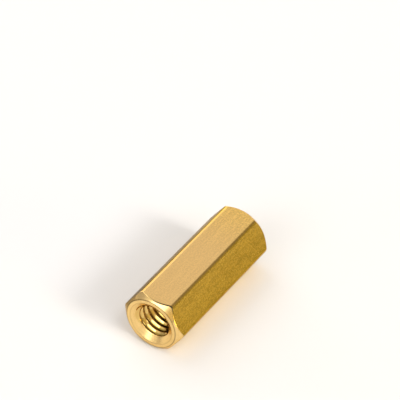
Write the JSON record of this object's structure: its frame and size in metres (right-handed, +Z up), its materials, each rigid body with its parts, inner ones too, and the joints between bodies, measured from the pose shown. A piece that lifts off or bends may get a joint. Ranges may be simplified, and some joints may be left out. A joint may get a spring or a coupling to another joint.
{
  "type": "hex standoff",
  "caption": "Female-to-female brass hex standoff: a hexagonal spacer with chamfered ends and a threaded hole right through.",
  "frame": {"origin": "centre of the bounding box's bottom face: the middle of the flat that the standoff lies on", "axes": "+X along the threaded hole, from one end face to the other; +Z up from the flat that it lies on"},
  "size_m": [0.016, 0.0068, 0.006],
  "materials": {
    "brass": "bright drawn flats with turned ends"
  },
  "bodies": {
    "root": {"standoff": "brass"}
  },
  "joints": []
}
